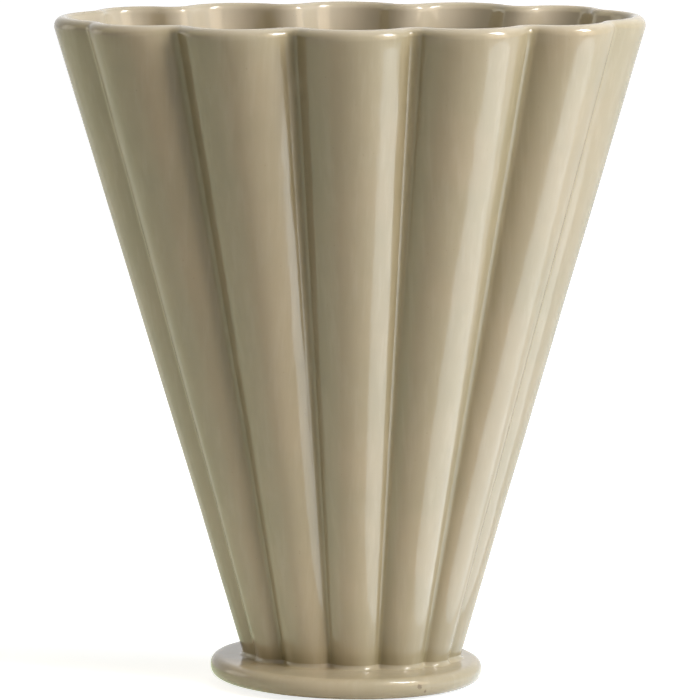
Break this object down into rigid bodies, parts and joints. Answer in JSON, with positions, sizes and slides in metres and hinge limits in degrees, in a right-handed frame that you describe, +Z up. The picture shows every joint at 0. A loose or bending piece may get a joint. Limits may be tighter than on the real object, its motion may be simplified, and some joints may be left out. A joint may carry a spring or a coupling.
{
  "type": "fan vase",
  "caption": "Tall oval fan vase of round flutes that narrow to a round foot plate, open at the mouth to hold flowers and water.",
  "frame": {"origin": "on the table under the middle of the vase", "axes": "+Z up, +X along the wide mouth, +Y from front to back"},
  "size_m": [0.247, 0.142, 0.28],
  "materials": {
    "glaze": "glossy beige glaze",
    "bare_clay": "matt unglazed stoneware"
  },
  "bodies": {
    "root": {"fluted_wall": "glaze", "vessel_floor": "glaze", "inner_coil": "glaze", "foot_plate": "glaze", "slip_fillet": "glaze", "foot_ring": "bare_clay"}
  },
  "joints": []
}
